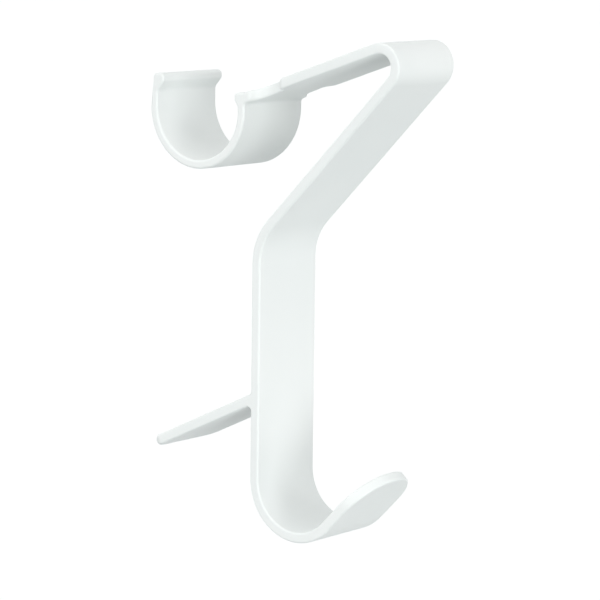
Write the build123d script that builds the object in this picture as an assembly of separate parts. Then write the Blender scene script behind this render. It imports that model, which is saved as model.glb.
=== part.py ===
from build123d import *
import math
import os

# Radiator hook, moulded in one piece. Sizes are in millimetres, angles in degrees.
# The origin is on the axis of the tube that the clip holds, halfway along the clip.
# X runs along the tube, -Y points to the front of the hook and +Z points up.

# Clip: an open cradle with a bead along each lip, whose nose just meets the tube
TUBE_RADIUS = 12.5
CLIP_WALL = 2.1
CLIP_OVERHANG = 0.3  # how much wider than the strap the clip is, on each side
LIP_LEAN = 9.0
BACK_LIP_HEIGHT = 7.6
BACK_BEAD_HEIGHT = 4.2
BACK_NOSE_HEIGHT = 1.0
FRONT_LIP_RISE = 0.45  # above the top of the arm where it leaves the clip
FRONT_BEAD_HEIGHT = 2.9
FRONT_NOSE_HEIGHT = 0.85
BEAD_ROUND = 0.65
BEAD_HOLLOW = 1.5

# Strap: one band of even thickness from the clip to the tip of the tongue
STRAP_WIDTH = 21.3
STRAP_THICKNESS = 2.5
ARM_SLOPE = 18.5
ARM_DROP = 1.6
ARM_LENGTH = 54.6
TOP_BEND_RADIUS = 4.45
DIAGONAL_SLOPE = 45.1
DIAGONAL_LENGTH = 49.1
KNEE_RADIUS = 13.6
SHANK_LEAN = 0.35
SHANK_LENGTH = 51.4
HOOK_RADIUS = 12.4
TONGUE_SLOPE = 45.4
TONGUE_LENGTH = 17.2
TONGUE_FLAT = 1.5  # what is left straight between the two corners of the tongue

# Neck: the strap is notched on both sides where it leaves the clip
NECK_NOTCH = 3.2
NECK_GAP = 1.7  # from the outside of the clip to the notches
NECK_LENGTH = 8.1
NECK_DIP = 0.3
NECK_EASE = 30.0
NECK_FLARE = 4.2
NECK_CORNER = 1.0
SHOULDER_ROUND = 1.6

# Spur: the leg behind the shank
SPUR_SLOPE = 24.8
SPUR_HEIGHT = -67.7
SPUR_LENGTH = 35.7
SPUR_CORNER = 3.8
SPUR_NOSE_FLAT = 0.01  # what is left flat at the tip, which is nearly a full round

# Edges and roots
EDGE_BEVEL = 0.42
ROOT_FILLET = 1.0
LIP_BLEND = 2.0

# What follows from these
CLIP_WIDTH = STRAP_WIDTH + 2 * CLIP_OVERHANG
NECK_WIDTH = STRAP_WIDTH - 2 * NECK_NOTCH
NECK_START = TUBE_RADIUS + CLIP_WALL + NECK_GAP
TONGUE_CORNER = (STRAP_WIDTH - TONGUE_FLAT) / 2

# The side view: its first number runs to the front, its second one up.
SIDE = Plane(origin=(0, 0, 0), x_dir=(0, -1, 0), z_dir=(-1, 0, 0))


def step(angle, length=1.0):
    """A move in the side view, at an angle above the level line to the front."""
    turn = math.radians(angle)
    return Vector(math.cos(turn), math.sin(turn)) * length


def nearest(vertices, point, count=1):
    """The corners of a sketch that are nearest to a point."""
    return vertices.sort_by(lambda v: (Vector(v) - point).length)[:count]


def arm_point(distance, dip=0.0):
    """A point on the middle of the arm's thickness, a distance along from the tube axis."""
    return step(ARM_SLOPE, distance) + step(ARM_SLOPE - 90, ARM_DROP + dip)


def neck_line():
    """The neck's part of the mid-line: its start inside the clip wall, and its end in mid-neck."""
    narrow_start = NECK_START + NECK_FLARE
    narrow_end = NECK_START + NECK_LENGTH - NECK_CORNER
    distance = (narrow_start + narrow_end) / 2 / math.cos(math.radians(ARM_SLOPE))
    return arm_point(TUBE_RADIUS + CLIP_WALL / 2, NECK_DIP), arm_point(distance)


def neck_top(rise=0.0):
    """The point of the neck's upper face that is this much higher than at its start."""
    start, end = neck_line()
    along = (end - start).normalized()
    raised = start + Vector(-along.Y, along.X) * (STRAP_THICKNESS / 2)
    return raised + along * (rise / along.Y)


def strap_midline():
    """Middle of the strap's thickness, from inside the clip wall to the end of the tongue."""
    top_turn = ARM_SLOPE + 180 - DIAGONAL_SLOPE
    knee_turn = 90 - SHANK_LEAN - DIAGONAL_SLOPE
    hook_turn = 90 + SHANK_LEAN + TONGUE_SLOPE
    with BuildLine() as line:
        arm = FilletPolyline(*neck_line(), arm_point(ARM_LENGTH), radius=NECK_EASE)
        top = JernArc(arm @ 1, arm % 1, TOP_BEND_RADIUS, -top_turn)
        diagonal = Line(top @ 1, top @ 1 + (top % 1) * DIAGONAL_LENGTH)
        knee = JernArc(diagonal @ 1, diagonal % 1, KNEE_RADIUS, knee_turn)
        shank = Line(knee @ 1, knee @ 1 + (knee % 1) * SHANK_LENGTH)
        hook = JernArc(shank @ 1, shank % 1, HOOK_RADIUS, hook_turn)
        Line(hook @ 1, hook @ 1 + (hook % 1) * TONGUE_LENGTH)
    return line.line


def shank_point(height):
    """The point of the strap's mid-line on the shank at a height."""
    shank = strap_midline().edges()[-3]
    share = (shank.position_at(0).Y - height) / (shank.position_at(0).Y - shank.position_at(1).Y)
    return shank.position_at(share)


def strap_face():
    """The strap seen from the side."""
    with BuildSketch() as sketch:
        make_face(offset(strap_midline(), STRAP_THICKNESS / 2, kind=Kind.INTERSECTION))
    return sketch.face()


def spur_face():
    """The spur seen from the side, with a round tip; its root is inside the shank."""
    root = shank_point(SPUR_HEIGHT)
    tip = root + step(180 + SPUR_SLOPE, SPUR_LENGTH)
    with BuildSketch() as sketch:
        with Locations((root + tip) / 2):
            SlotCenterToCenter((tip - root).length, STRAP_THICKNESS, rotation=SPUR_SLOPE)
    return sketch.face()


def strap_and_spur_face():
    """Strap and spur in one, with small fillets where the spur leaves the shank."""
    with BuildSketch() as sketch:
        add(strap_face())
        add(spur_face())
        root = shank_point(SPUR_HEIGHT) - Vector(STRAP_THICKNESS / 2, 0)
        fillet(nearest(sketch.vertices(), root, 2), ROOT_FILLET)
    return sketch.face()


def ring_face():
    """The round lower half of the clip."""
    outer = TUBE_RADIUS + CLIP_WALL
    with BuildSketch() as sketch:
        Circle(outer)
        Circle(TUBE_RADIUS, mode=Mode.SUBTRACT)
        with Locations((0, outer / 2)):
            Rectangle(2 * outer, outer, mode=Mode.SUBTRACT)
    return sketch.face()


def tube_side(height):
    """How far the tube's surface is from the upright plane through its axis, at a height."""
    return math.sqrt(TUBE_RADIUS**2 - height**2)


def fitted(radius, room):
    """A rounding, kept to a part of the flat that it has to fit on."""
    return min(radius, 0.65 * room)


def back_lip_face():
    """The back wall above the tube axis: it leans in a little and ends in a bead."""
    outer = TUBE_RADIUS + CLIP_WALL
    nose = BACK_LIP_HEIGHT - BACK_NOSE_HEIGHT
    hollow = BACK_LIP_HEIGHT - BACK_BEAD_HEIGHT
    leave = step(180 - LIP_LEAN, outer)
    top = leave + step(90 - LIP_LEAN, (BACK_LIP_HEIGHT - leave.Y) / math.cos(math.radians(LIP_LEAN)))
    with BuildSketch() as sketch:
        with BuildLine():
            curve = CenterArc((0, 0), outer, 180 - LIP_LEAN, LIP_LEAN)
            Polyline(
                curve @ 1,
                (-TUBE_RADIUS, 0),
                (-TUBE_RADIUS, hollow),
                (-tube_side(nose), nose),
                (-tube_side(nose), BACK_LIP_HEIGHT),
                top,
                curve @ 0,
            )
        make_face()
        fillet(sketch.vertices().filter_by(lambda v: v.Y > nose - 0.01), fitted(BEAD_ROUND, BACK_NOSE_HEIGHT))
        fillet(nearest(sketch.vertices(), Vector(-TUBE_RADIUS, hollow)), BEAD_HOLLOW)
    return sketch.face()


def front_lip_face():
    """The front wall above the tube axis, with its bead; its top runs into the arm."""
    outer = TUBE_RADIUS + CLIP_WALL
    lip = neck_top(FRONT_LIP_RISE)
    nose = lip.Y - FRONT_NOSE_HEIGHT
    hollow = lip.Y - FRONT_BEAD_HEIGHT
    inside_arm = neck_line()[0]
    with BuildSketch() as sketch:
        Polygon(
            (TUBE_RADIUS, 0),
            inside_arm,
            lip,
            (tube_side(nose), lip.Y),
            (tube_side(nose), nose),
            (TUBE_RADIUS, hollow),
            align=None,
        )
        with BuildSketch(mode=Mode.PRIVATE) as wall:
            Circle(outer)
            with Locations((TUBE_RADIUS + CLIP_WALL / 2, inside_arm.Y / 2)):
                Rectangle(CLIP_WALL, inside_arm.Y, mode=Mode.INTERSECT)
        add(wall.sketch)
        nose_corners = sketch.vertices().filter_by(lambda v: v.X < tube_side(nose) + 0.01)
        fillet(nose_corners, fitted(BEAD_ROUND, FRONT_NOSE_HEIGHT))
        fillet(nearest(sketch.vertices(), Vector(TUBE_RADIUS, hollow)), BEAD_HOLLOW)
    return sketch.face()


def clip_face():
    """The clip seen from the side, with the arm as far as the narrow part of the neck."""
    with BuildSketch() as sketch:
        add(ring_face())
        add(back_lip_face())
        add(front_lip_face())
        with BuildSketch(mode=Mode.PRIVATE) as root:
            add(strap_face())
            with Locations((NECK_START + NECK_FLARE + 0.5 - TUBE_RADIUS, 0)):
                Rectangle(2 * TUBE_RADIUS, 2 * TUBE_RADIUS, mode=Mode.INTERSECT)
        add(root.sketch)
        under = arm_point(TUBE_RADIUS + CLIP_WALL) + step(ARM_SLOPE - 90, STRAP_THICKNESS / 2)
        fillet(nearest(sketch.vertices(), under), ROOT_FILLET)
        fillet(nearest(sketch.vertices(), neck_top(FRONT_LIP_RISE)), LIP_BLEND)
    return sketch.face()


def leg_plane(tip, angle):
    """The middle plane of a flat leg: its first number runs out past the tip."""
    along = step(angle)
    return Plane(
        origin=(0, -tip.X, tip.Y),
        x_dir=(0, -along.X, along.Y),
        z_dir=(0, along.Y, along.X),
    )


def end_waste(tip, angle, corner):
    """What to cut off the end of a flat leg to round its two corners in plan."""
    with BuildPart() as waste:
        with BuildSketch(leg_plane(tip, angle)):
            with Locations(((STRAP_THICKNESS - corner) / 2, 0)):
                Rectangle(corner + STRAP_THICKNESS, STRAP_WIDTH + 2)
            with Locations((-2 * corner, 0)):
                RectangleRounded(4 * corner, STRAP_WIDTH, corner, mode=Mode.SUBTRACT)
        extrude(amount=2 * STRAP_THICKNESS, both=True)
    return waste.part


def nose_waste(tip, angle, corner):
    """What to cut off a flat leg to leave a nose that is round in plan and in thickness."""
    width = STRAP_WIDTH + STRAP_THICKNESS
    plane = leg_plane(tip, angle)
    with BuildPart() as waste:
        with BuildSketch(plane):
            with Locations((-corner, 0)):
                Rectangle(4 * corner, width + 1)
        extrude(amount=STRAP_THICKNESS, both=True)
        with BuildPart(mode=Mode.SUBTRACT) as keep:
            with BuildSketch(plane):
                with Locations((-4 * corner, 0)):
                    RectangleRounded(8 * corner, width, corner)
            extrude(amount=STRAP_THICKNESS / 2, both=True)
            rim = keep.edges().filter_by(Axis((0, 0, 0), plane.z_dir), reverse=True)
            fillet(rim, (STRAP_THICKNESS - SPUR_NOSE_FLAT) / 2)
    return waste.part


def neck_waste():
    """What to cut out of one side of the arm to make the neck."""
    start = -NECK_START
    end = -NECK_START - NECK_LENGTH
    inner = NECK_WIDTH / 2
    outer = CLIP_WIDTH / 2 + NECK_FLARE
    with BuildPart() as waste:
        with BuildSketch() as sketch:
            Polygon((inner, start), (outer, start), (outer, end), (inner, end), align=None)
            fillet(nearest(sketch.vertices(), Vector(inner, start)), NECK_FLARE)
            fillet(nearest(sketch.vertices(), Vector(inner, end)), NECK_CORNER)
        extrude(amount=TUBE_RADIUS, both=True)
    return waste.part


def is_shoulder(edge):
    """True for the two short edges where the full width of the strap ends at the neck."""
    middle = edge.center()
    at_side = abs(middle.X) > STRAP_WIDTH / 2 - 0.01
    at_end = abs(middle.Y + NECK_START + NECK_LENGTH) < 0.01
    return at_side and at_end and middle.Z > 0


def blank():
    """Clip, strap and spur as one solid, cut to outline, with its edges still sharp."""
    with BuildPart() as body:
        with BuildSketch(SIDE):
            add(clip_face())
        extrude(amount=CLIP_WIDTH / 2, both=True)
        with BuildSketch(SIDE):
            add(strap_and_spur_face())
        extrude(amount=STRAP_WIDTH / 2, both=True)
        add(end_waste(strap_midline() @ 1, TONGUE_SLOPE, TONGUE_CORNER), mode=Mode.SUBTRACT)
        add(neck_waste(), mode=Mode.SUBTRACT)
        add(mirror(neck_waste(), about=Plane.YZ), mode=Mode.SUBTRACT)
        fillet(body.edges().filter_by(is_shoulder), fitted(SHOULDER_ROUND, NECK_NOTCH))
    return body.part


def rim_edges(body):
    """The edges between the broad faces of the hook and its narrow side faces."""
    broad = [f for f in body.faces() if is_broad(f)]
    narrow = [f for f in body.faces() if not is_broad(f)]
    broad_edges = ShapeList(e for f in broad for e in f.edges())
    narrow_edges = ShapeList(e for f in narrow for e in f.edges())
    return ShapeList(e for e in broad_edges if e in narrow_edges)


def is_broad(face):
    """True for a face that runs right across the hook from side to side."""
    return face.bounding_box().size.X > 0.75 * NECK_WIDTH


def radiator_hook():
    """The finished hook: rim edges bevelled, then the nose of the spur shaped."""
    solid = blank().solids()[0]
    spur_end = shank_point(SPUR_HEIGHT) + step(180 + SPUR_SLOPE, SPUR_LENGTH)
    with BuildPart() as hook:
        add(solid.chamfer(EDGE_BEVEL, None, rim_edges(solid)))
        add(nose_waste(spur_end, 180 + SPUR_SLOPE, SPUR_CORNER), mode=Mode.SUBTRACT)
    return hook.part


hook = radiator_hook()
print("solids", len(hook.solids()), "valid", hook.is_valid, hook.bounding_box().size)
os.makedirs("parts", exist_ok=True)
export_step(hook, "parts/radiator_hook.step")
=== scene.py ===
# %% [markdown]
# # A radiator hook in white plastic
#
# The hook is one injection-moulded piece. A springy open clip snaps under the round tube of a
# towel radiator, a flat strap rises to the front, bends over, comes down and turns up into a
# hook, and a spur behind it keeps it off the radiator.
#
# The CAD model already has the true sizes. What it leaves out are the soft edges that every
# moulded piece has, because they cost a great many facets there. This script skins the same
# outline again with rolled rims, lets Geometry Nodes lay the strap along its bends, and gives
# the hook its plastic, a studio and a camera.

import math

import bmesh
import bpy
from mathutils import Matrix, Vector


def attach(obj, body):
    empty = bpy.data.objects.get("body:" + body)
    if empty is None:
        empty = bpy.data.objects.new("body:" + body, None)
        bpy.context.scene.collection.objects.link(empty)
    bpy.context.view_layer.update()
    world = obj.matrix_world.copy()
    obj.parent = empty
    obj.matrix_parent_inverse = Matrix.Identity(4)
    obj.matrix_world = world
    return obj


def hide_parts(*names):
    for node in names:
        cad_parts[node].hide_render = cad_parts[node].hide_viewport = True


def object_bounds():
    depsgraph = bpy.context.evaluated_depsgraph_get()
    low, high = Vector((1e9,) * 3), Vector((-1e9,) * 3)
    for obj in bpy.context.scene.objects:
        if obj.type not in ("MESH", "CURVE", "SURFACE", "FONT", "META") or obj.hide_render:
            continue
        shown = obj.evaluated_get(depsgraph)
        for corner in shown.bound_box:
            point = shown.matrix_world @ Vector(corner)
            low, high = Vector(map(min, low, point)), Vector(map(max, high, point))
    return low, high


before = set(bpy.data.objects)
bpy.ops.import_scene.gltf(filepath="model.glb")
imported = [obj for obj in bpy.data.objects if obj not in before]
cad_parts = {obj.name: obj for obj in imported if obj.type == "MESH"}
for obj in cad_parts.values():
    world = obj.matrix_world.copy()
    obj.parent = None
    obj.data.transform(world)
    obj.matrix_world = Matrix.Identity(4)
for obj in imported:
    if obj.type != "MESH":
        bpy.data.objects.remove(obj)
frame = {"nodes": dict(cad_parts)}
cad_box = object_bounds()
print("CAD nodes:", ", ".join(frame["nodes"]))

# %% [markdown]
# ## Sizes
#
# The sizes are those of the CAD source, in millimetres and degrees, save that the beads of
# the clip are a little fuller here. Each size stands in the first cell that needs it. Blender
# works in metres, so every length is multiplied by `MM` on its way into a mesh. The origin is
# on the axis of the tube. In the side view a point is (front, up): front is -Y, up is +Z.

# %% Millimetres
MM = 0.001
print("1 mm is", MM, "m")

# %% [markdown]
# ## The middle line of the strap
#
# On the real hook the strap has one thickness from the clip to the tip, so its shape is a
# line with a few bends. The line could be drawn as a Bezier curve by hand, but its bends are
# true arcs. It is stored as the corners between its straight runs, each with the radius of
# its bend, and a node rounds them later.

# %% Steps and corners in the side view
ARM_SLOPE = 18.5
ARM_DROP = 1.6


def step(angle, length=1.0):
    """A move in the side view, at an angle above the level line to the front."""
    turn = math.radians(angle)
    return Vector((math.cos(turn), math.sin(turn))) * length


def arm_point(distance, dip=0.0):
    """A point on the middle of the arm, a distance along from the tube axis."""
    return step(ARM_SLOPE, distance) + step(ARM_SLOPE - 90, ARM_DROP + dip)


def corner_reach(radius, turn):
    """How far a corner lies from the ends of the arc that rounds it."""
    return radius * math.tan(math.radians(abs(turn)) / 2)


print("the axis of the tube is", ARM_DROP, "mm above the middle of the arm")

# %% Corners of the middle line
TUBE_RADIUS = 12.5
CLIP_WALL = 2.1
ARM_LENGTH = 54.6
TOP_BEND_RADIUS = 4.45
DIAGONAL_SLOPE = 45.1
DIAGONAL_LENGTH = 49.1
KNEE_RADIUS = 13.6
SHANK_LEAN = 0.35
SHANK_LENGTH = 51.4
HOOK_RADIUS = 12.4
TONGUE_SLOPE = 45.4
TONGUE_LENGTH = 17.2
NECK_START = 16.3
NECK_LENGTH = 8.1
NECK_DIP = 0.3
NECK_EASE = 30.0
NECK_FLARE = 4.2
NECK_CORNER = 1.0
LINE_SPARE = 2.0  # how far the middle line runs on past the tip of the tongue
neck_middle = (2 * NECK_START + NECK_FLARE + NECK_LENGTH - NECK_CORNER) / 2
line_start = arm_point(TUBE_RADIUS + CLIP_WALL / 2, NECK_DIP)
line_ease = arm_point(neck_middle / math.cos(math.radians(ARM_SLOPE)))
neck_slope = math.degrees(math.atan2(*reversed(line_ease - line_start)))

TURNS = {
    "top": (TOP_BEND_RADIUS, ARM_SLOPE, DIAGONAL_SLOPE - 180),
    "knee": (KNEE_RADIUS, DIAGONAL_SLOPE - 180, -90 - SHANK_LEAN),
    "hook": (HOOK_RADIUS, -90 - SHANK_LEAN, TONGUE_SLOPE),
}
RUNS = {"top": DIAGONAL_LENGTH, "knee": SHANK_LENGTH, "hook": TONGUE_LENGTH}

corners = [(line_start, 0.0), (line_ease, NECK_EASE)]
marks = {}
place = arm_point(ARM_LENGTH)
along = (line_ease - line_start).length + (place - line_ease).length
for name, (radius, before, after) in TURNS.items():
    reach = corner_reach(radius, after - before)
    arc = radius * math.radians(abs(after - before))
    corners.append((place + step(before, reach), radius))
    marks[name] = (along, along + arc)
    place = place + step(before, reach) + step(after, reach)
    marks[name + " end"] = place.copy()
    along += arc + RUNS[name]
    place = place + step(after, RUNS[name])
strap_end = along
corners.append((place + step(TONGUE_SLOPE, LINE_SPARE), 0.0))
print("strap is", round(strap_end, 2), "mm long, its tip at", [round(c, 2) for c in place])

# %% [markdown]
# ## Stations
#
# The whole hook is one closed skin over one outline in the side view. The outline is cut into
# stations. A station says where the broad face ends in the side view, which way that face
# looks, how far the side is from the middle, and which way the side looks in the top view.
# Four more values say how the rim between the two rolls, and whether the strap is still flat
# there. The other way would be a sharp blank with a Bevel modifier, which fails where a rim
# runs into a small arc.
#
# Stations on the strap hold their place along the middle line and off it, because the strap
# is still flat at this point. Stations on the clip and on the spur hold true places.

# %% One station, and stations round an arc
RIM_ROUND = 0.5
ARC_STEP = 3.0  # degrees of an arc between two stations
FEWEST_PIECES = 3  # of any arc
CORNER_PIECES = 6  # at least, of a corner in the side view


def station(spot, out, half, lean=(0.0, 1.0), rim=RIM_ROUND, way=(0.0, 0.0), shear=0.0, flat=False):
    """A place on the outline, with what is needed to roll its rim."""
    return {
        "spot": Vector(spot),
        "out": Vector(out),
        "half": half,
        "lean": lean,
        "rim": rim,
        "way": Vector(way),
        "shear": shear,
        "flat": flat,
    }


def arc_count(turn):
    """How many pieces an arc is cut into."""
    return max(FEWEST_PIECES, round(abs(turn) / ARC_STEP))


def rounded(corner, radius, before, after, half, rim=RIM_ROUND):
    """Stations round a corner of the outline, for headings before and after it in degrees."""
    turn = (after - before + 180) % 360 - 180
    centre_side = 90 if turn > 0 else -90
    start = corner - step(before, corner_reach(radius, turn))
    centre = start + step(before + centre_side, radius)
    count = max(arc_count(turn), CORNER_PIECES)
    made = []
    for k in range(count + 1):
        heading = before + turn * k / count
        spot = centre - step(heading + centre_side, radius)
        made.append(station(spot, step(heading - 90), half, rim=rim))
    return made


def meet(first, first_angle, second, second_angle):
    """Where two straight lines cross, each given by a point and an angle."""
    a, b = step(first_angle), step(second_angle)
    share = (second - first).cross(b) / a.cross(b)
    return first + a * share


print("a quarter turn has", arc_count(90), "pieces")

# %% [markdown]
# ## The strap in the flat
#
# Seen from above, the strap starts at the full width of the clip, flares in to a narrow neck,
# steps out again over a small shoulder, and ends in a tongue that is nearly a half circle.
# The notches were cut straight down through the sloping arm, so on the arm each station leans
# with the slope, which is called shear here.

# %% The plan of the neck: distance to the front, half width and the way the side looks
STRAP_WIDTH = 21.3
CLIP_WIDTH = 21.9
NECK_HALF_WIDTH = 7.45
SHOULDER_ROUND = 1.6
LEDGE_ROUND = 1.0
PLAN_PIECES = 5  # at least, of an arc in the top view
HALF_CLIP = CLIP_WIDTH / 2
HALF_STRAP = STRAP_WIDTH / 2


def plan_arc(centre, radius, start, end, sign):
    """Points round an arc in the top view. The sign is 1 for a round and -1 for a hollow."""
    count = max(arc_count(end - start), PLAN_PIECES)
    made = []
    for k in range(count + 1):
        d = step(start + (end - start) * k / count)
        made.append((centre[0] + d.x * radius, centre[1] + d.y * radius, (sign * d.x, sign * d.y)))
    return made


LEDGE_SPARE = 0.1  # a straight bit before the ledge starts to turn
neck_end = NECK_START + NECK_LENGTH
flare_centre = Vector((NECK_START + NECK_FLARE, NECK_HALF_WIDTH + NECK_FLARE))
ledge_drop = HALF_CLIP - LEDGE_ROUND - flare_centre.y
ledge_back = math.sqrt((NECK_FLARE + LEDGE_ROUND) ** 2 - ledge_drop**2)
ledge_centre = Vector((flare_centre.x - ledge_back, HALF_CLIP - LEDGE_ROUND))
ledge_turn = math.degrees(math.atan2(-ledge_drop, ledge_back))

neck_plan = [(ledge_centre.x - LEDGE_SPARE, HALF_CLIP, (0.0, 1.0))]
neck_plan += plan_arc(ledge_centre, LEDGE_ROUND, 90, ledge_turn, 1)
neck_plan += plan_arc(flare_centre, NECK_FLARE, ledge_turn + 180, 270, -1)[1:]
neck_plan += plan_arc(
    (neck_end - NECK_CORNER, NECK_HALF_WIDTH + NECK_CORNER), NECK_CORNER, 270, 360, -1
)
neck_plan += plan_arc(
    (neck_end + SHOULDER_ROUND, HALF_STRAP - SHOULDER_ROUND), SHOULDER_ROUND, 180, 90, 1
)
print("neck plan:", len(neck_plan), "points")

# %% The strap's stations from the ledge of the clip to the tip of the tongue
TONGUE_CORNER = 9.9
CLIP_RIM_ROUND = 0.6


def along_at(front):
    """Distance along the middle line at a distance to the front, as far as the top bend."""
    if front < line_ease.x:
        return (front - line_start.x) / math.cos(math.radians(neck_slope))
    rest = (front - line_ease.x) / math.cos(math.radians(ARM_SLOPE))
    return (line_ease - line_start).length + rest


def strap_row(distance, half, lean=(0.0, 1.0), shear=0.0, rim=RIM_ROUND):
    """What both faces of the strap have in common at one distance along it."""
    return {"distance": distance, "half": half, "lean": lean, "shear": shear, "rim": rim}


def neck_rim(half):
    """The rims of the neck are as soft as the clip's where it is wide, and crisper in the neck."""
    share = (half - NECK_HALF_WIDTH) / (HALF_CLIP - NECK_HALF_WIDTH)
    return RIM_ROUND + (CLIP_RIM_ROUND - RIM_ROUND) * share


slant = math.tan(math.radians(ARM_SLOPE))
strap_rows = []
for front, half, lean in neck_plan:
    rim = neck_rim(half) if front < neck_middle else RIM_ROUND
    strap_rows.append(strap_row(along_at(front), half, lean, slant, rim))
for name, (_, before, after) in TURNS.items():
    start, end = marks[name]
    count = arc_count(after - before)
    for k in range(count + 1):
        strap_rows.append(strap_row(start + (end - start) * k / count, HALF_STRAP))
    if name == "knee":
        spur_slot = len(strap_rows)
tip_centre = (strap_end - TONGUE_CORNER, HALF_STRAP - TONGUE_CORNER)
tip_arc = plan_arc(tip_centre, TONGUE_CORNER, 90, 0, 1)
strap_rows += [strap_row(s, half, lean) for s, half, lean in tip_arc]
print("strap:", len(strap_rows), "stations")

# %% [markdown]
# ## Where the spur leaves the shank
#
# The spur leans down to the back and springs from the shank with two small fillets. The
# fillets are stations between the shank's back face and the faces of the spur. Its own
# stations are made in pairs, upper and lower, out to a nose that is rounded in the top view
# and, more and more towards the tip, right through its thickness.

# %% Root fillets of the spur
THICKNESS = 2.5
SPUR_SLOPE = 24.8
SPUR_HEIGHT = -67.7
ROOT_FILLET = 1.0
HALF_THICK = THICKNESS / 2
shank_heading = -90 - SHANK_LEAN
spur_out = 180 + SPUR_SLOPE
shank_top = marks["knee end"]
spur_root = meet(shank_top, shank_heading, Vector((0.0, SPUR_HEIGHT)), 0.0)
back_face = spur_root + step(shank_heading - 90, HALF_THICK)
upper_face = spur_root + step(spur_out - 90, HALF_THICK)
lower_face = spur_root - step(spur_out - 90, HALF_THICK)

upper_root = rounded(
    meet(back_face, shank_heading, upper_face, spur_out),
    ROOT_FILLET,
    shank_heading,
    spur_out - 360,
    HALF_STRAP,
)
lower_root = rounded(
    meet(lower_face, spur_out, back_face, shank_heading),
    ROOT_FILLET,
    SPUR_SLOPE,
    shank_heading,
    HALF_STRAP,
)
print("root fillets:", len(upper_root), "and", len(lower_root), "stations")

# %% The pairs of the spur, out to its nose
SPUR_LENGTH = 35.7
SPUR_CORNER = 3.2


def down_shank(spot):
    """Distance along the strap of a spot beside the shank."""
    return marks["knee"][1] + (spot - shank_top).dot(step(shank_heading))


def spur_pair(distance, half, lean, rim):
    """The upper and the lower station of the spur, a distance out from its root."""
    pair = []
    for side in (-1, 1):
        out = step(spur_out + 90 * side)
        spot = spur_root + step(spur_out, distance) + out * HALF_THICK
        pair.append(station(spot, out, half, lean, rim, step(spur_out)))
    return pair


SPUR_SPARE = 0.2  # from the longer root fillet to the first pair
NOSE_FLAT = 0.01  # what the rims leave of half the thickness at the tip
spur_first = max((s["spot"] - spur_root).dot(step(spur_out)) for s in upper_root + lower_root)
spur_pairs = [spur_pair(spur_first + SPUR_SPARE, HALF_STRAP, (0.0, 1.0), RIM_ROUND)]
nose = plan_arc((SPUR_LENGTH - SPUR_CORNER, HALF_STRAP - SPUR_CORNER), SPUR_CORNER, 90, 0, 1)
for distance, half, lean in nose:
    ease = lean[0] ** 2 * (3 - 2 * lean[0])
    rim = RIM_ROUND + (HALF_THICK - NOSE_FLAT - RIM_ROUND) * ease
    spur_pairs.append(spur_pair(distance, half, lean, rim))
print("spur:", len(spur_pairs), "pairs")

# %% [markdown]
# ## The clip
#
# The clip is a wall of even thickness round the lower half of the tube. Its back lip leans in
# a little and its front lip runs into the arm. Both end in a small bead, so the hook snaps
# over the tube and stays there. A short fillet below and a soft dip above join it to the arm.

# %% Corners of the clip
LIP_LEAN = 9.0
BACK_LIP_HEIGHT = 7.6
BACK_BEAD_HEIGHT = 4.2
BACK_NOSE_HEIGHT = 1.9
BACK_BEAD_DEPTH = 2.0
FRONT_LIP_RISE = 0.45
FRONT_BEAD_HEIGHT = 3.2
FRONT_NOSE_HEIGHT = 1.9
FRONT_BEAD_DEPTH = 0.95
OUTER = TUBE_RADIUS + CLIP_WALL


def ring(radius, start, end, sign):
    """Stations round the tube axis between two angles. The sign is 1 outside and -1 inside."""
    count = arc_count(end - start)
    angles = [start + (end - start) * k / count for k in range(count + 1)]
    return [station(step(a, radius), step(a) * sign, HALF_CLIP, rim=CLIP_RIM_ROUND) for a in angles]


def angle_of(move):
    """The angle of a move in the side view, in degrees."""
    return math.degrees(math.atan2(move.y, move.x))


neck_upper = line_start + step(neck_slope + 90, HALF_THICK)
neck_lower = line_start + step(neck_slope - 90, HALF_THICK)
lip = neck_upper + step(neck_slope, FRONT_LIP_RISE / math.sin(math.radians(neck_slope)))
front_nose = lip.y - FRONT_NOSE_HEIGHT
front_hollow = Vector((TUBE_RADIUS, lip.y - FRONT_BEAD_HEIGHT))
front_top = Vector((TUBE_RADIUS - FRONT_BEAD_DEPTH, lip.y))
front_low = Vector((TUBE_RADIUS - FRONT_BEAD_DEPTH, front_nose))
front_lean = angle_of(front_hollow - front_low)

back_nose = BACK_LIP_HEIGHT - BACK_NOSE_HEIGHT
back_hollow = Vector((-TUBE_RADIUS, BACK_LIP_HEIGHT - BACK_BEAD_HEIGHT))
back_low = Vector((BACK_BEAD_DEPTH - TUBE_RADIUS, back_nose))
back_top = Vector((BACK_BEAD_DEPTH - TUBE_RADIUS, BACK_LIP_HEIGHT))
leave = step(180 - LIP_LEAN, OUTER)
back_outer = meet(leave, 90 - LIP_LEAN, back_top, 0.0)
back_lean = angle_of(back_low - back_hollow)

fillet_line = neck_lower + step(neck_slope - 90, ROOT_FILLET)
fillet_off = fillet_line.dot(step(neck_slope - 90))
fillet_run = math.sqrt((OUTER + ROOT_FILLET) ** 2 - fillet_off**2)
fillet_centre = step(neck_slope - 90, fillet_off) + step(neck_slope, fillet_run)
fillet_start = angle_of(fillet_centre)

print("lips reach", round(lip.y, 2), "and", BACK_LIP_HEIGHT, "mm above the tube axis")

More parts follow.
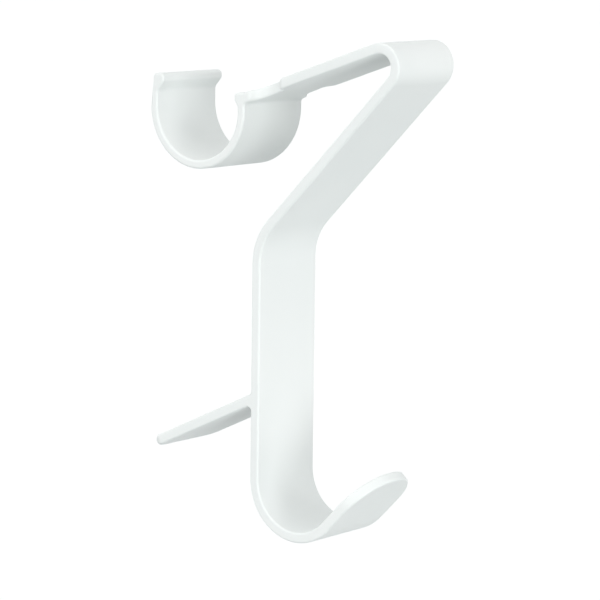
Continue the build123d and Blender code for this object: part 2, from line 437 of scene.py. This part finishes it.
# %% Stations of the clip, from the top of the arm round the inside, and back underneath
LIP_TOP_ROUND = 1.0
BEAD_ROUND = 0.9
BEAD_HOLLOW = 1.5
LIP_BLEND = 2.0
RING_SPARE = 4  # degrees left free at each end of the ring for the hollow under a bead
OUTER_START = 182  # degrees, just below the back lip
FILLET_STEPS = 8
clip = rounded(lip, LIP_BLEND, 180 + neck_slope, 180, HALF_CLIP, CLIP_RIM_ROUND)
clip += rounded(front_top, LIP_TOP_ROUND, 180, 270, HALF_CLIP)
clip += rounded(front_low, BEAD_ROUND, 270, front_lean, HALF_CLIP)
clip += rounded(front_hollow, BEAD_HOLLOW, front_lean, 270, HALF_CLIP)
clip += ring(TUBE_RADIUS, -RING_SPARE, RING_SPARE - 180, -1)
clip += rounded(back_hollow, BEAD_HOLLOW, 90, back_lean, HALF_CLIP)
clip += rounded(back_low, BEAD_ROUND, back_lean, 90, HALF_CLIP)
clip += rounded(back_top, LIP_TOP_ROUND, 90, 180, HALF_CLIP)
clip += rounded(back_outer, BEAD_ROUND, 180, 270 - LIP_LEAN, HALF_CLIP)
clip += ring(OUTER, OUTER_START, 360 + fillet_start, 1)
for k in range(1, FILLET_STEPS + 1):
    look = fillet_start + (neck_slope - 90 - fillet_start) * k / FILLET_STEPS
    clip.append(
        station(fillet_centre - step(look, ROOT_FILLET), step(look), HALF_CLIP, rim=CLIP_RIM_ROUND)
    )
print("clip:", len(clip), "stations")

# %% [markdown]
# ## The skin
#
# At each station a quarter circle rolls from the broad face to the side face. Neighbouring
# stations are joined by a quad across the face and a row of small quads down each rim. The
# sides are closed by quads between the two faces of the strap and of the spur, and by one
# flat face for the clip and one for the root of the spur.
#
# The strap stations are still flat here. A mark on each point says whether it is on the
# strap, so that the nodes know which points to bend.

# %% Points of one station
RIM_STEPS = 6


def rim_points(s, side):
    """The points of a station's rim on one side, from the broad face to the side face."""
    made = []
    for j in range(RIM_STEPS + 1):
        turn = math.radians(90 - 90 * j / RIM_STEPS)
        inset = s["rim"] * (1 - math.cos(turn))
        depth = s["rim"] * (1 - math.sin(turn))
        across = side * (s["half"] - s["lean"][1] * inset)
        if s["flat"]:
            off = s["spot"].y - math.copysign(depth, s["spot"].y)
            run = s["spot"].x - s["lean"][0] * inset + off * s["shear"]
            made.append(Vector((across, run, off)) * MM)
        else:
            spot = s["spot"] - s["out"] * depth - s["way"] * (s["lean"][0] * inset)
            made.append(Vector((across, -spot.x, spot.y)) * MM)
    return made


def face_stations(rows, side):
    """One face of the strap as stations: side 1 is the upper and outer one, -1 the other."""
    return [
        station(
            (r["distance"], side * HALF_THICK),
            (0, 0),
            r["half"],
            r["lean"],
            r["rim"],
            shear=r["shear"],
            flat=True,
        )
        for r in rows
    ]


shank_before = strap_row(down_shank(upper_root[0]["spot"]), HALF_STRAP)
shank_after = strap_row(down_shank(lower_root[-1]["spot"]), HALF_STRAP)
rows = strap_rows[:spur_slot] + [shank_before, shank_after] + strap_rows[spur_slot:]
print("strap rows with the spur's two:", len(rows))

# %% The outline in order, and the skin over it
order = []
names = {}


def lay(name, stations):
    """Adds stations to the outline and keeps their numbers under a name."""
    names[name] = list(range(len(order), len(order) + len(stations)))
    order.extend(stations)


inner = face_stations(rows, -1)
lay("inner before", inner[: spur_slot + 1])
lay("upper root", upper_root[1:])
lay("spur upper", [pair[0] for pair in spur_pairs])
lay("spur lower", [pair[1] for pair in reversed(spur_pairs)])
lay("lower root", lower_root[:-1])
lay("inner after", inner[spur_slot + 1 :])
lay("outer", list(reversed(face_stations(rows, 1))))
lay("clip", clip)

print("outline:", len(order), "stations")

# %% The points of every station
points = []
on_strap = []
number = {}
for k, s in enumerate(order):
    for side in (-1, 1):
        for j, point in enumerate(rim_points(s, side)):
            number[k, side, j] = len(points)
            points.append(point)
            on_strap.append(s["flat"])

print("skin:", len(points), "points")

# %% The broad faces, the rims and the two blunt ends
tips = {names["spur upper"][-1], names["inner after"][-1]}
faces = []
for k in range(len(order)):
    n = (k + 1) % len(order)
    if k in tips:
        for a in (k, n):
            for j in range(RIM_STEPS):
                near = [number[a, 1, j], number[a, 1, j + 1]]
                faces.append(near + [number[a, -1, j + 1], number[a, -1, j]])
        ends = [number[k, 1, RIM_STEPS], number[n, 1, RIM_STEPS]]
        faces.append(ends + [number[n, -1, RIM_STEPS], number[k, -1, RIM_STEPS]])
        continue
    faces.append([number[k, 1, 0], number[n, 1, 0], number[n, -1, 0], number[k, -1, 0]])
    for side in (-1, 1):
        for j in range(RIM_STEPS):
            upper = [number[k, side, j], number[n, side, j]]
            faces.append(upper + [number[n, side, j + 1], number[k, side, j + 1]])
print("broad faces, rims and ends:", len(faces), "faces")

# %% Close the two sides
lower_side = names["inner before"] + names["inner after"]
upper_side = list(reversed(names["outer"]))
spur_upper = names["spur upper"]
spur_lower = list(reversed(names["spur lower"]))
gap = names["inner before"][-1]


def side_face(stations, side):
    """One face of the side of the hook, through the outermost rim points."""
    faces.append([number[k, side, RIM_STEPS] for k in stations])


for side in (-1, 1):
    for i in range(len(rows) - 1):
        if lower_side[i] != gap:
            side_face([lower_side[i], lower_side[i + 1], upper_side[i + 1], upper_side[i]], side)
    for i in range(len(spur_pairs) - 1):
        side_face([spur_upper[i], spur_upper[i + 1], spur_lower[i + 1], spur_lower[i]], side)
    root = [gap] + names["upper root"] + [spur_upper[0], spur_lower[0]] + names["lower root"]
    root += [names["inner after"][0], upper_side[spur_slot + 1], upper_side[spur_slot]]
    side_face(root, side)
    side_face([upper_side[0]] + names["clip"] + [lower_side[0]], side)

skin = bpy.data.meshes.new("hook_skin")
skin.from_pydata(points, [], faces)
mark = skin.attributes.new("on_strap", "BOOLEAN", "POINT")
mark.data.foreach_set("value", on_strap)
hook = bpy.data.objects.new("hook_skin", skin)
bpy.context.scene.collection.objects.link(hook)
print("skin:", len(points), "points,", len(faces), "faces")

# %% [markdown]
# ## White moulded plastic
#
# The hook is a white thermoplastic with a soft gloss, such as ABS. A plain white would look
# like paper.
# Real mouldings have a colour that drifts very slightly with the wall thickness and the flow
# of the melt, a fine grain left by the tool, and a gloss that is not the same everywhere. All
# three come from noise in object coordinates, so they stay on the plastic from every side.

# %% A group for the marks of the mould


def new_group(name, inputs, outputs):
    """A shader node group with its sockets and its two end nodes."""
    group = bpy.data.node_groups.new(name, "ShaderNodeTree")
    for label, kind, value in inputs:
        socket = group.interface.new_socket(label, in_out="INPUT", socket_type=kind)
        socket.default_value = value
    for label, kind in outputs:
        group.interface.new_socket(label, in_out="OUTPUT", socket_type=kind)
    return group, group.nodes.new("NodeGroupInput"), group.nodes.new("NodeGroupOutput")


mould, given, result = new_group(
    "moulded_surface",
    [
        ("Flow Scale", "NodeSocketFloat", 28.0),
        ("Grain Scale", "NodeSocketFloat", 1500.0),
        ("Grain Share", "NodeSocketFloat", 0.5),
    ],
    [("Flow", "NodeSocketFloat"), ("Grain", "NodeSocketFloat"), ("Height", "NodeSocketFloat")],
)
link = mould.links.new
coords = mould.nodes.new("ShaderNodeTexCoord")
flow = mould.nodes.new("ShaderNodeTexNoise")
flow.inputs["Detail"].default_value = 2.0
grain = mould.nodes.new("ShaderNodeTexNoise")
grain.inputs["Detail"].default_value = 3.0
height = mould.nodes.new("ShaderNodeMix")
height.data_type = "FLOAT"
link(coords.outputs["Object"], flow.inputs["Vector"])
link(coords.outputs["Object"], grain.inputs["Vector"])
link(given.outputs["Flow Scale"], flow.inputs["Scale"])
link(given.outputs["Grain Scale"], grain.inputs["Scale"])
link(given.outputs["Grain Share"], height.inputs["Factor"])
link(flow.outputs["Fac"], height.inputs["A"])
link(grain.outputs["Fac"], height.inputs["B"])
link(flow.outputs["Fac"], result.inputs["Flow"])
link(grain.outputs["Fac"], result.inputs["Grain"])
link(height.outputs["Result"], result.inputs["Height"])
print("group", mould.name, "has", len(mould.nodes), "nodes")

# %% The plastic
plastic = bpy.data.materials.new("white_moulded_plastic")
plastic.use_nodes = True
tree = plastic.node_tree
link = tree.links.new
shader = tree.nodes["Principled BSDF"]
shader.inputs["IOR"].default_value = 1.5
marks_node = tree.nodes.new("ShaderNodeGroup")
marks_node.node_tree = mould
tint = tree.nodes.new("ShaderNodeValToRGB")
tint.color_ramp.elements[0].position = 0.3
tint.color_ramp.elements[0].color = (0.838, 0.873, 0.864, 1.0)
tint.color_ramp.elements[1].position = 0.7
tint.color_ramp.elements[1].color = (0.868, 0.896, 0.885, 1.0)
gloss = tree.nodes.new("ShaderNodeMapRange")
gloss.inputs["To Min"].default_value = 0.4
gloss.inputs["To Max"].default_value = 0.5
bump = tree.nodes.new("ShaderNodeBump")
bump.inputs["Strength"].default_value = 0.12
bump.inputs["Distance"].default_value = 0.00004
link(marks_node.outputs["Flow"], tint.inputs["Fac"])
link(tint.outputs["Color"], shader.inputs["Base Color"])
link(marks_node.outputs["Grain"], gloss.inputs["Value"])
link(gloss.outputs["Result"], shader.inputs["Roughness"])
link(marks_node.outputs["Height"], bump.inputs["Height"])
link(bump.outputs["Normal"], shader.inputs["Normal"])
print("material", plastic.name, "with", len(tree.nodes), "nodes")

# %% [markdown]
# ## Lay the strap along its bends
#
# Bending the flat strap is a rule: a point that is so far along the strap goes to the same
# distance along the middle line, and stays as far off the line as it was. Geometry Nodes do
# this with Fillet Curve, which rounds the corners, and Sample Curve, which reads the place
# and the heading at a distance. The bends can be changed in one place, and the rims follow.

# %% The middle line as a curve with its bend radii
path_data = bpy.data.curves.new("strap_middle_line", "CURVE")
path_data.dimensions = "3D"
spline = path_data.splines.new("POLY")
spline.points.add(len(corners) - 1)
for point, (spot, radius) in zip(spline.points, corners):
    point.co = (0.0, -spot.x * MM, spot.y * MM, 1.0)
    point.radius = radius * MM
path = bpy.data.objects.new("strap_middle_line", path_data)
bpy.context.scene.collection.objects.link(path)
print("middle line:", len(corners), "corners")

# %% The node tree that bends the strap
bend = bpy.data.node_groups.new("lay_strap_along_line", "GeometryNodeTree")
sockets = bend.interface
sockets.new_socket("Geometry", in_out="INPUT", socket_type="NodeSocketGeometry")
sockets.new_socket("Middle Line", in_out="INPUT", socket_type="NodeSocketObject")
sockets.new_socket("Pieces Per Bend", in_out="INPUT", socket_type="NodeSocketInt")
sockets.new_socket("Plastic", in_out="INPUT", socket_type="NodeSocketMaterial")
sockets.new_socket("Geometry", in_out="OUTPUT", socket_type="NodeSocketGeometry")


def node(kind, **settings):
    """A node of the bending tree, with its settings."""
    made = bend.nodes.new(kind)
    for key, value in settings.items():
        setattr(made, key, value)
    return made


link = bend.links.new
start = node("NodeGroupInput")
end = node("NodeGroupOutput")
line = node("GeometryNodeObjectInfo", transform_space="RELATIVE")
radius = node("GeometryNodeInputRadius")
fillet = node("GeometryNodeFilletCurve", mode="POLY")
fillet.inputs["Limit Radius"].default_value = False
sample = node("GeometryNodeSampleCurve", mode="LENGTH", use_all_curves=True)
place_now = node("GeometryNodeInputPosition")
parts = node("ShaderNodeSeparateXYZ")
off_way = node("ShaderNodeVectorMath", operation="CROSS_PRODUCT")
off_way.inputs[1].default_value = (1.0, 0.0, 0.0)
off_move = node("ShaderNodeVectorMath", operation="SCALE")
side_move = node("ShaderNodeCombineXYZ")
both_moves = node("ShaderNodeVectorMath", operation="ADD")
new_place = node("ShaderNodeVectorMath", operation="ADD")
strap_only = node("GeometryNodeInputNamedAttribute", data_type="BOOLEAN")
strap_only.inputs["Name"].default_value = "on_strap"
move = node("GeometryNodeSetPosition")
realize = node("GeometryNodeRealizeInstances")
paint = node("GeometryNodeSetMaterial")

print("tree", bend.name, "has", len(bend.nodes), "nodes")

# %% Link the bending tree
link(start.outputs["Middle Line"], line.inputs["Object"])
link(line.outputs["Geometry"], fillet.inputs["Curve"])
link(start.outputs["Pieces Per Bend"], fillet.inputs["Count"])
link(radius.outputs["Radius"], fillet.inputs["Radius"])
link(fillet.outputs["Curve"], sample.inputs["Curves"])
link(place_now.outputs["Position"], parts.inputs["Vector"])
link(parts.outputs["Y"], sample.inputs["Length"])
link(sample.outputs["Tangent"], off_way.inputs[0])
link(off_way.outputs["Vector"], off_move.inputs[0])
link(parts.outputs["Z"], off_move.inputs["Scale"])
link(parts.outputs["X"], side_move.inputs["X"])
link(off_move.outputs["Vector"], both_moves.inputs[0])
link(side_move.outputs["Vector"], both_moves.inputs[1])
link(sample.outputs["Position"], new_place.inputs[0])
link(both_moves.outputs["Vector"], new_place.inputs[1])
link(start.outputs["Geometry"], move.inputs["Geometry"])
link(strap_only.outputs["Attribute"], move.inputs["Selection"])
link(new_place.outputs["Vector"], move.inputs["Position"])
link(move.outputs["Geometry"], realize.inputs["Geometry"])
link(realize.outputs["Geometry"], paint.inputs["Geometry"])
link(start.outputs["Plastic"], paint.inputs["Material"])
link(paint.outputs["Geometry"], end.inputs["Geometry"])
print("tree", bend.name, "has", len(bend.links), "links")

# %% Bend the strap, and keep the result as a plain mesh
PIECES_PER_BEND = 60
modifier = hook.modifiers.new("lay_strap", "NODES")
modifier.node_group = bend
ids = {item.name: item.identifier for item in bend.interface.items_tree if item.in_out == "INPUT"}
modifier[ids["Middle Line"]] = path
modifier[ids["Pieces Per Bend"]] = PIECES_PER_BEND
modifier[ids["Plastic"]] = plastic
graph = bpy.context.evaluated_depsgraph_get()
bent = bpy.data.meshes.new_from_object(hook.evaluated_get(graph), depsgraph=graph)
bpy.data.objects.remove(hook)
bpy.data.objects.remove(path)
print("bent:", len(bent.polygons), "faces")

# %% [markdown]
# ## A clean mesh
#
# The real piece can't be larger than the mould it comes from. Curves cut into straight bits
# can still put a point a hair outside the box of the CAD model, so such points are put back
# on it. Scaling the whole hook down would do that too, but it would spoil every other size.
# Then all faces turn outwards, and the open edges are counted: none means a closed skin.

# %% Stay inside the CAD's box, turn the faces outwards and smooth them
work = bmesh.new()
work.from_mesh(bent)
pulled = 0
for vert in work.verts:
    inside = Vector([min(max(c, low), high) for c, low, high in zip(vert.co, *cad_box)])
    pulled += inside != vert.co
    vert.co = inside
print("points put back on the box:", pulled, "of", len(work.verts))
bmesh.ops.recalc_face_normals(work, faces=work.faces)
open_edges = [e for e in work.edges if len(e.link_faces) != 2]
volume = work.calc_volume(signed=True)
for face in work.faces:
    face.smooth = True
work.to_mesh(bent)
work.free()
print("open edges:", len(open_edges), "volume in mm3:", round(volume * 1e9))

# %% [markdown]
# ## The finished hook
#
# The broad faces are long quads beside the tiny quads of the rims. Plain smooth shading would
# tilt the light across them, so a Weighted Normal modifier lets the larger face decide.

# %% One piece in place of the CAD node
bent.name = "radiator_hook_moulding"
moulding = bpy.data.objects.new("radiator_hook_moulding", bent)
bpy.context.scene.collection.objects.link(moulding)
even = moulding.modifiers.new("even_normals", "WEIGHTED_NORMAL")
even.keep_sharp = True
even.weight = 100
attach(moulding, "root")
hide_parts("radiator_hook")
print("moulding:", len(bent.polygons), "faces")

# %% [markdown]
# ## Studio
#
# The hook hangs in front of a plain sweep. The sweep is one sheet: a floor that curves up
# into a backdrop behind the hook, so no horizon shows. The floor lies well below the hook,
# which leaves room for low lamps. A white sheet could do, but it would throw so much light
# back that the undersides went flat. So the sheet is grey, and a glow that only the camera
# sees, straight on or mirrored, makes it white.

# %% The sweep
FLOOR_DROP = 900.0
VIEW_AZIMUTH = 51.36  # of the camera, to the left of the front
SWEEP_SIDE = 3.0  # from here on in metres
SWEEP_FRONT = -3.0
CURVE_START = 1.2
CURVE_RADIUS = 0.5
CURVE_PIECES = 10
BACKDROP_HEIGHT = 3.0
lowest = cad_box[0][2]
floor_height = lowest - FLOOR_DROP * MM
view_turn = math.radians(VIEW_AZIMUTH)
view_way = Vector((math.sin(view_turn), math.cos(view_turn), 0.0))
side_way = Vector((view_way.y, -view_way.x, 0.0))
profile = [(SWEEP_FRONT, 0.0), (CURVE_START, 0.0)]
for k in range(1, CURVE_PIECES + 1):
    a = math.radians(90 * k / CURVE_PIECES)
    away = CURVE_START + CURVE_RADIUS * math.sin(a)
    profile.append((away, CURVE_RADIUS - CURVE_RADIUS * math.cos(a)))
profile.append((CURVE_START + CURVE_RADIUS, BACKDROP_HEIGHT))
sheet = []
for away, rise in profile:
    middle = view_way * away + Vector((0.0, 0.0, floor_height + rise))
    sheet += [middle - side_way * SWEEP_SIDE, middle + side_way * SWEEP_SIDE]
quads = [(2 * i, 2 * i + 1, 2 * i + 3, 2 * i + 2) for i in range(len(profile) - 1)]
sweep_mesh = bpy.data.meshes.new("studio_sweep")
sweep_mesh.from_pydata(sheet, [], quads)
sweep_mesh.shade_smooth()
sweep = bpy.data.objects.new("studio_sweep", sweep_mesh)
bpy.context.scene.collection.objects.link(sweep)
print("sweep:", len(quads), "faces")

# %% A white that only the camera sees


def seen_rays(tree, level):
    """A strength for what the camera sees, straight on or in a gloss or a glass."""
    rays = tree.nodes.new("ShaderNodeLightPath")
    value = rays.outputs["Is Camera Ray"]
    for name in ("Is Glossy Ray", "Is Transmission Ray"):
        either = tree.nodes.new("ShaderNodeMath")
        either.operation = "MAXIMUM"
        tree.links.new(value, either.inputs[0])
        tree.links.new(rays.outputs[name], either.inputs[1])
        value = either.outputs["Value"]
    scaled = tree.nodes.new("ShaderNodeMath")
    scaled.operation = "MULTIPLY"
    scaled.inputs[1].default_value = level
    tree.links.new(value, scaled.inputs[0])
    return scaled.outputs["Value"]


SWEEP_GLOW = 0.8
SWEEP_GREY = (0.29, 0.31, 0.31, 1.0)
white = bpy.data.materials.new("white_sweep")
white.use_nodes = True
tree = white.node_tree
link = tree.links.new
base = tree.nodes["Principled BSDF"]
base.inputs["Base Color"].default_value = SWEEP_GREY
base.inputs["Roughness"].default_value = 0.9
glow = tree.nodes.new("ShaderNodeEmission")
both = tree.nodes.new("ShaderNodeAddShader")
link(seen_rays(tree, SWEEP_GLOW), glow.inputs["Strength"])
link(base.outputs["BSDF"], both.inputs[0])
link(glow.outputs["Emission"], both.inputs[1])
link(both.outputs["Shader"], tree.nodes["Material Output"].inputs["Surface"])
sweep_mesh.materials.append(white)
print("white:", white.name, "with", len(tree.nodes), "nodes")

# %% [markdown]
# ## Camera
#
# A long lens from a little way off keeps the clip and the hook in their true proportions,
# where a short one would swell whatever is nearest. The camera stands to the left of the
# front, a little above the middle. A Track To constraint could aim it, but an azimuth, a drop
# and a roll say in plain numbers where it looks.

# %% The camera
CAMERA_PLACE = Vector((-514.997, -434.801, 49.042)) * MM
CAMERA_DROP = 8.12
CAMERA_ROLL = 0.435
camera_data = bpy.data.cameras.new("camera")
camera_data.sensor_width = 36.0
camera_data.lens = 168.6
camera_data.clip_start = 0.05
camera_data.clip_end = 20.0
camera = bpy.data.objects.new("camera", camera_data)
bpy.context.scene.collection.objects.link(camera)
spin = Matrix.Rotation(-view_turn, 4, "Z")
tilt = Matrix.Rotation(math.radians(90 - CAMERA_DROP), 4, "X")
roll = Matrix.Rotation(math.radians(CAMERA_ROLL), 4, "Z")
camera.matrix_world = Matrix.Translation(CAMERA_PLACE) @ spin @ tilt @ roll
bpy.context.scene.camera = camera
print("camera at", [round(c, 3) for c in camera.location])

# %% [markdown]
# ## Lamps
#
# White on white needs soft light from large areas, or the bends drown in white and the
# undersides turn black. So three large square lamps stand about two metres off: the key one
# at the front left, one to the left side and a weaker one at the front right. Two smaller
# ones stand low at the front, for the faces that look down. A single small lamp with more
# power would draw hard lines along the rims. The back wall and the ceiling of the studio are
# only a faint light in the world, stronger the more a direction leans towards them, which is
# simpler than building them.

# %% The lamps
HOOK_MIDDLE = (0.0, -0.02, -0.04)
LAMP_SIZE = 1.8
LOW_LAMP_SIZE = 0.8


def softbox(name, place, power, size=LAMP_SIZE):
    """A square area lamp that looks at the middle of the hook."""
    data = bpy.data.lights.new(name, "AREA")
    data.size = size
    data.energy = power
    lamp = bpy.data.objects.new(name, data)
    bpy.context.scene.collection.objects.link(lamp)
    lamp.location = place
    look = Vector(HOOK_MIDDLE) - Vector(place)
    lamp.rotation_euler = look.to_track_quat("-Z", "Y").to_euler()


softbox("key", (-1.1, -1.8, 0.1), 13.3)
softbox("side", (-2.1, 0.0, 0.3), 12.6)
softbox("fill", (0.6, -2.2, 0.2), 6.4)
softbox("low_left", (-0.8, -1.7, -0.6), 9.3, LOW_LAMP_SIZE)
softbox("low_right", (0.9, -1.6, -0.6), 4.0, LOW_LAMP_SIZE)

# %% The faint light of the walls
BACK_WALL = 1.18
CEILING = 1.08
WORLD_GLOW = 1.0
world = bpy.data.worlds.new("studio_air")
world.use_nodes = True
air = world.node_tree
link = air.links.new
outward = air.nodes.new("ShaderNodeTexCoord")
parts = air.nodes.new("ShaderNodeSeparateXYZ")
link(outward.outputs["Generated"], parts.inputs["Vector"])
shares = []
for axis, share in (("Y", BACK_WALL), ("Z", CEILING)):
    above = air.nodes.new("ShaderNodeMath")
    above.operation = "MAXIMUM"
    above.inputs[1].default_value = 0.0
    part = air.nodes.new("ShaderNodeMath")
    part.operation = "MULTIPLY"
    part.inputs[1].default_value = share
    link(parts.outputs[axis], above.inputs[0])
    link(above.outputs["Value"], part.inputs[0])
    shares.append(part)
total = air.nodes.new("ShaderNodeMath")
total.operation = "ADD"
link(shares[0].outputs["Value"], total.inputs[0])
link(shares[1].outputs["Value"], total.inputs[1])
highest = air.nodes.new("ShaderNodeMath")
highest.operation = "MAXIMUM"
link(total.outputs["Value"], highest.inputs[0])
link(seen_rays(air, WORLD_GLOW), highest.inputs[1])
sky = air.nodes["Background"]
sky.inputs["Color"].default_value = (1.0, 1.0, 1.0, 1.0)
link(highest.outputs["Value"], sky.inputs["Strength"])
bpy.context.scene.world = world
bpy.context.scene.view_settings.view_transform = "Standard"
print("world:", world.name, "with", len(air.nodes), "nodes")

# %% [markdown]
# ## The box of the CAD model
#
# The moulding has to stay inside the box of the CAD model, which is printed here.

# %% Print the CAD box and finish
print("CAD box   ", [[round(c * 1000, 2) for c in corner] for corner in cad_box])
